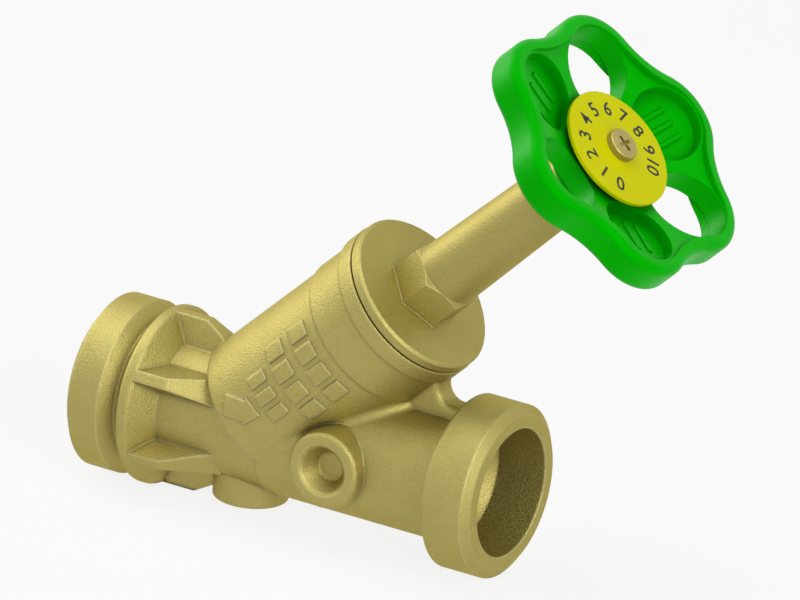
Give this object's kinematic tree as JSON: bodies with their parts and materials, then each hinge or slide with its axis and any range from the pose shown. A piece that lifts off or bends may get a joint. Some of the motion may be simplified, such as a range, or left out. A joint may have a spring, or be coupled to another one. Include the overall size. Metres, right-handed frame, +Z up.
{
  "type": "free-flow stop valve",
  "caption": "Straight-pattern stop valve with slanting branch, ribbed cast body, tall bonnet and lobed hand wheel; turning the wheel lifts the plug off its slanted seat.",
  "frame": {"origin": "middle of the inlet's end face, on the pipe's axis", "axes": "+X along the pipe from inlet to outlet, +Z up, on the side where the branch and the wheel stand"},
  "size_m": [0.1542, 0.0704, 0.1362],
  "materials": {
    "cast_gunmetal": "cast and shot-blasted",
    "turned_gunmetal": "blasted, satin",
    "turned_brass": "turned",
    "screw_metal": "satin",
    "stainless_steel": "turned",
    "epdm_rubber": "moulded",
    "white_plastic": "machined",
    "green_plastic": "moulded, half gloss",
    "yellow_plastic": "moulded, half gloss"
  },
  "bodies": {
    "body": {"valve_body": "cast_gunmetal", "bonnet": "turned_gunmetal", "bonnet_o_ring": "epdm_rubber", "seal_retainer": "turned_brass", "stem_seal": "epdm_rubber", "guide_ring": "white_plastic", "spindle_bush": "turned_brass", "lower_thrust_washer": "white_plastic", "upper_thrust_washer": "white_plastic", "neck_bush": "white_plastic", "dust_wiper": "epdm_rubber"},
    "wheel": {"spindle": "turned_brass", "spindle_o_rings": "epdm_rubber", "handwheel": "green_plastic", "drive_insert": "turned_brass", "marker_disc": "yellow_plastic", "wheel_screw": "screw_metal"},
    "plug": {"plug_carrier": "turned_brass", "plug_seal": "epdm_rubber", "plug_washer": "stainless_steel", "plug_screw": "stainless_steel"}
  },
  "joints": [
    {"name": "wheel_turn", "type": "hinge", "parent": "body", "child": "wheel", "pos_m": [0.0395, 0, 0], "axis": [0.7071, 0, 0.7071], "range_deg": [0, 1980]},
    {"name": "plug_lift", "type": "slide", "parent": "body", "child": "plug", "axis": [0.7071, 0, 0.7071], "range_m": [0, 0.011]}
  ],
  "couplings": [
    {"joint": "wheel_turn", "follows": "plug_lift", "rad_per_m": 3141.6}
  ]
}
